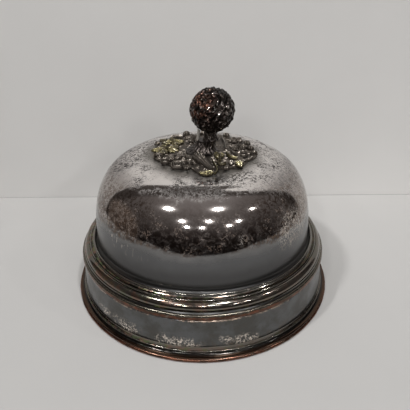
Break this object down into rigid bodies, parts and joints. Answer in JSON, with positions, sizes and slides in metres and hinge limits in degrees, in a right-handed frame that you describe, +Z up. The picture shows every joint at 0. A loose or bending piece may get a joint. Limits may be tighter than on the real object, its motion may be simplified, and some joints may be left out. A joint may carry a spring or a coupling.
{
  "type": "serving cloche",
  "caption": "Round domed dish cover with a raised hollow crown, stepped shoulder mouldings, a flared skirt and a cast foliate mount carrying a knobbed ball finial.",
  "frame": {"origin": "On the table, at the centre of the rim's bottom face.", "axes": "+Z is up through the crown, -Y is the front, +X is to the right seen from the front."},
  "size_m": [0.28, 0.28, 0.2154],
  "materials": {
    "worn_silver": "silver plate, worn and tarnish-pitted",
    "skirt_silver": "silver plate, dulled and worn through in patches",
    "moulding_silver": "silver plate, brown and green tarnish in the hollows",
    "bare_copper": "plate worn through to dull copper",
    "cast_dark": "cast metal, black-brown tarnish",
    "cast_brassy": "cast metal, plating worn to yellow metal",
    "cast_fruit": "cast metal, dark brown with copper showing",
    "inner_brass": "plain turned brass, dull"
  },
  "bodies": {
    "cover": {"dome_shell": "worn_silver", "skirt_band": "skirt_silver", "foot_moulding": "moulding_silver", "rim_wire": "bare_copper", "shoulder_bead": "moulding_silver", "shoulder_torus": "moulding_silver", "lower_bead": "bare_copper", "mount_plate": "cast_dark", "pin_left": "inner_brass", "pin_right": "inner_brass", "stalk_boss": "cast_dark", "stalk": "cast_dark", "tendril": "worn_silver", "finial_body": "cast_fruit", "finial_cap": "cast_fruit", "stud": "inner_brass", "vine_scroll": "cast_dark", "leaf_vine_tip": "cast_brassy", "leaf_left": "cast_brassy", "leaf_back_left": "cast_brassy", "leaf_front_left": "cast_dark", "scroll_left": "cast_dark", "scroll_front": "cast_dark", "strand_left": "cast_dark", "flower_left": "cast_dark", "flower_left_small": "cast_dark", "bud_front_left": "cast_dark", "leaf_heart": "cast_brassy", "strand_front": "cast_brassy", "scroll_heart": "cast_brassy", "branch_right": "cast_brassy", "strand_mid": "cast_dark", "leaf_small": "cast_dark", "leaf_right_low": "cast_brassy", "bud_front_right": "cast_dark", "scroll_right": "cast_dark", "scroll_right_outer": "cast_dark", "bead_edge": "cast_dark", "leaf_right_back": "cast_dark", "leaf_right_far": "cast_dark", "strand_back_right": "cast_dark", "leaf_back_right": "cast_dark", "leaf_back": "cast_dark", "leaf_far_left": "cast_dark", "bud_back_left": "cast_dark", "bud_back": "cast_dark", "bud_back_right": "cast_dark", "bud_right_back": "cast_dark", "bud_right_outer": "cast_dark", "bud_left_outer": "cast_dark"},
    "washer": {"cup_washer": "inner_brass"},
    "nut": {"wing_nut": "inner_brass"}
  },
  "joints": [
    {"name": "washer_drop", "type": "slide", "parent": "cover", "child": "washer", "axis": [0, 0, -1], "range_m": [0, 0.0096]},
    {"name": "nut_turn", "type": "hinge", "parent": "washer", "child": "nut", "pos_m": [0, 0, 0.14], "axis": [0, 0, -1], "range_deg": [0, 2160]}
  ],
  "couplings": [
    {"joint": "nut_turn", "follows": "washer_drop", "rad_per_m": 3927}
  ]
}
